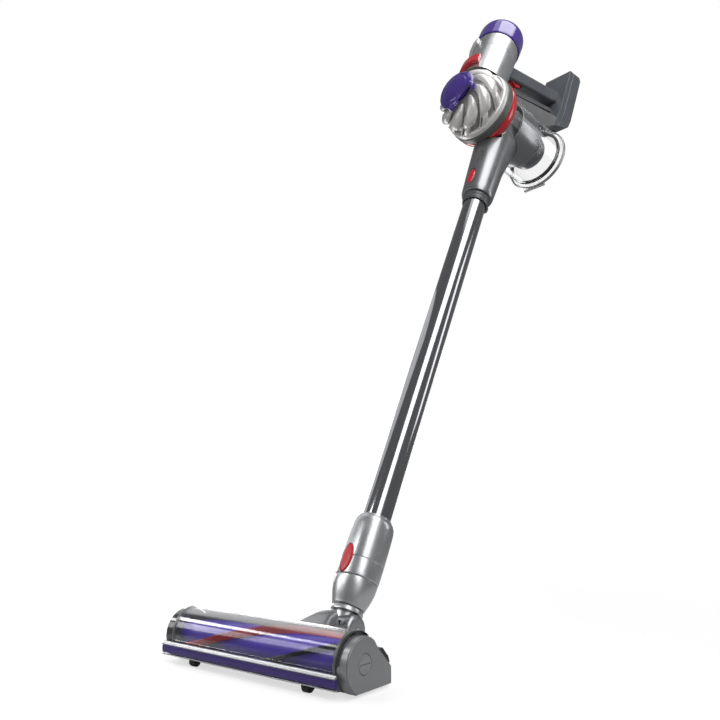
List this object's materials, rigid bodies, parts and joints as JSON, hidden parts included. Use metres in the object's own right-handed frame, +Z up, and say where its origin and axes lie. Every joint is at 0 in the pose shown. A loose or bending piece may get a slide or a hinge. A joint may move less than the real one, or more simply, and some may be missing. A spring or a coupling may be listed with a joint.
{
  "type": "cordless stick vacuum",
  "caption": "Cordless stick vacuum with a powered brush floor head, two-way neck, straight wand and a handheld cyclone unit with grip and battery.",
  "frame": {"origin": "on the floor, at the middle of the felt strip under the floor head", "axes": "+Z up, the long way of the vacuum; +Y from the floor head back towards the user; +X to the right, along the brush"},
  "size_m": [0.249, 0.8173, 0.9721],
  "materials": {
    "black_plastic": "satin moulded black plastic",
    "clear_plastic": "clear polished polycarbonate",
    "silver_grey_plastic": "fine spark texture, light grey",
    "dark_grey_plastic": "satin dark grey",
    "blue_grey_plastic": "satin blue-grey with fine texture",
    "seal_rubber": "matt black seal",
    "plain_steel": "turned steel",
    "purple_gloss": "glossy translucent-looking purple",
    "red_nylon": "stiff red nylon bristle",
    "black_fibre": "fine black bristle",
    "silver_paint": "silver metallic paint over plastic",
    "felt": "short black felt",
    "roller_rubber": "soft black roller",
    "red_gloss": "glossy red",
    "dark_nickel": "dark nickel plated tube",
    "filter_felt": "pleated white filter"
  },
  "bodies": {
    "handheld": {"inlet_duct": "silver_paint", "cyclone_body": "silver_paint", "cyclone_ring": "dark_grey_plastic", "bin_carriage": "red_gloss", "bin": "clear_plastic", "bin_seal": "seal_rubber", "bin_hinge_pin": "plain_steel", "shroud": "dark_grey_plastic", "motor_housing": "silver_paint", "motor": "black_plastic", "handle_right": "blue_grey_plastic", "handle_left": "blue_grey_plastic", "handle_base": "blue_grey_plastic", "battery_pack": "blue_grey_plastic", "bridge": "dark_grey_plastic", "finger_guard": "black_plastic"},
    "wand": {"wand_tube": "dark_nickel", "wand_cuff": "silver_paint", "wand_top_collar": "black_plastic"},
    "cuff_button": {"cuff_button": "red_gloss"},
    "duct_button": {"duct_button": "red_gloss"},
    "neck": {"neck_tube": "silver_paint"},
    "elbow": {"neck_elbow": "silver_paint", "hinge_pin_left": "plain_steel", "hinge_pin_right": "plain_steel"},
    "head": {"head_chassis": "black_plastic", "brush_window": "clear_plastic", "end_cap_left": "dark_grey_plastic", "end_cap_seal": "seal_rubber", "brush_motor": "plain_steel", "bumper": "purple_gloss", "bumper_trim_top": "silver_paint", "bumper_trim_bottom": "silver_paint", "felt_strip": "felt", "neck_base": "dark_grey_plastic", "rear_axle": "plain_steel"},
    "brush": {"brush_core": "purple_gloss", "bristle_red_1": "red_nylon", "bristle_red_2": "red_nylon", "bristle_black_1": "black_fibre", "bristle_black_2": "black_fibre"},
    "end_cap": {"end_cap_right": "silver_grey_plastic", "brush_bearing": "plain_steel", "cap_clip": "black_plastic"},
    "coin_lock": {"coin_lock": "silver_grey_plastic"},
    "front_roller_left": {"front_roller_left": "roller_rubber"},
    "front_roller_right": {"front_roller_right": "roller_rubber"},
    "rear_wheel_left": {"rear_wheel_left": "roller_rubber"},
    "rear_wheel_right": {"rear_wheel_right": "roller_rubber"},
    "trigger": {"trigger": "red_gloss"},
    "release_lever": {"release_lever": "red_gloss"},
    "mode_switch": {"mode_switch": "silver_paint"},
    "pre_filter": {"pre_filter": "purple_gloss"},
    "filter_cap": {"post_filter_cap": "purple_gloss", "post_filter": "filter_felt"},
    "bin_base": {"bin_base": "clear_plastic"},
    "bin_latch": {"bin_latch": "black_plastic"},
    "impeller": {"impeller": "plain_steel"}
  },
  "joints": [
    {"name": "wand_release", "type": "slide", "parent": "handheld", "child": "wand", "axis": [0, -0.4848, -0.8746], "range_m": [0, 0.04]},
    {"name": "neck_release", "type": "slide", "parent": "wand", "child": "neck", "axis": [0, -0.4848, -0.8746], "range_m": [0, 0.03]},
    {"name": "neck_swivel", "type": "hinge", "parent": "neck", "child": "elbow", "pos_m": [0, 0.0923, 0.025], "axis": [0, 0.4848, 0.8746], "range_deg": [-84, 66]},
    {"name": "neck_pitch", "type": "hinge", "parent": "elbow", "child": "head", "pos_m": [0, 0.0923, 0.025], "axis": [1, 0, 0], "range_deg": [-28, 54]},
    {"name": "brush_spin", "type": "hinge", "parent": "head", "child": "brush", "pos_m": [0, -0.026, 0.027], "axis": [1, 0, 0], "continuous": true},
    {"name": "end_cap_pull", "type": "slide", "parent": "head", "child": "end_cap", "axis": [1, 0, 0], "range_m": [0, 0.02]},
    {"name": "coin_lock_turn", "type": "hinge", "parent": "end_cap", "child": "coin_lock", "pos_m": [0.1208, -0.026, 0.027], "axis": [1, 0, 0], "range_deg": [0, 90]},
    {"name": "front_roller_left_spin", "type": "hinge", "parent": "head", "child": "front_roller_left", "pos_m": [-0.08, -0.049, 0.0046], "axis": [1, 0, 0], "continuous": true},
    {"name": "front_roller_right_spin", "type": "hinge", "parent": "head", "child": "front_roller_right", "pos_m": [0.076, -0.049, 0.0046], "axis": [1, 0, 0], "continuous": true},
    {"name": "rear_wheel_left_spin", "type": "hinge", "parent": "head", "child": "rear_wheel_left", "pos_m": [-0.027, 0.076, 0.009], "axis": [1, 0, 0], "continuous": true},
    {"name": "rear_wheel_right_spin", "type": "hinge", "parent": "head", "child": "rear_wheel_right", "pos_m": [0.027, 0.076, 0.009], "axis": [1, 0, 0], "continuous": true},
    {"name": "cuff_button_press", "type": "slide", "parent": "wand", "child": "cuff_button", "axis": [0.1564, 0.8639, -0.4788], "range_m": [0, 0.0024], "stiffness_N_per_m": 900},
    {"name": "duct_button_press", "type": "slide", "parent": "handheld", "child": "duct_button", "axis": [0.1564, 0.8639, -0.4788], "range_m": [0, 0.0024], "stiffness_N_per_m": 900},
    {"name": "trigger_pull", "type": "hinge", "parent": "handheld", "child": "trigger", "pos_m": [-0.00142, 0.55204, 0.87289], "axis": [0.9877, -0.1368, 0.0758], "range_deg": [0, 10], "stiffness_Nm_per_rad": 0.6},
    {"name": "release_lever_pull", "type": "slide", "parent": "handheld", "child": "release_lever", "axis": [0.0082, 0.5294, 0.8484], "range_m": [0, 0.008], "stiffness_N_per_m": 600},
    {"name": "mode_switch_slide", "type": "slide", "parent": "handheld", "child": "mode_switch", "axis": [0.0082, 0.5294, 0.8484], "range_m": [0, 0.006]},
    {"name": "pre_filter_pull", "type": "slide", "parent": "handheld", "child": "pre_filter", "axis": [-0.152, -0.9536, 0.2598], "range_m": [0, 0.06]},
    {"name": "filter_cap_lift", "type": "slide", "parent": "handheld", "child": "filter_cap", "axis": [0.0082, 0.5294, 0.8484], "range_m": [0, 0.04]},
    {"name": "bin_base_open", "type": "hinge", "parent": "handheld", "child": "bin_base", "pos_m": [0.01873, 0.59424, 0.68653], "axis": [-0.9877, 0.1368, -0.0758], "range_deg": [0, 100]},
    {"name": "bin_latch_flex", "type": "hinge", "parent": "handheld", "child": "bin_latch", "pos_m": [0.01215, 0.60927, 0.79947], "axis": [0.9877, -0.1368, 0.0758], "range_deg": [0, 5], "stiffness_Nm_per_rad": 0.4},
    {"name": "impeller_spin", "type": "hinge", "parent": "handheld", "child": "impeller", "pos_m": [-0.0097, 0.47265, 0.83747], "axis": [0.0082, 0.5294, 0.8484], "continuous": true}
  ]
}
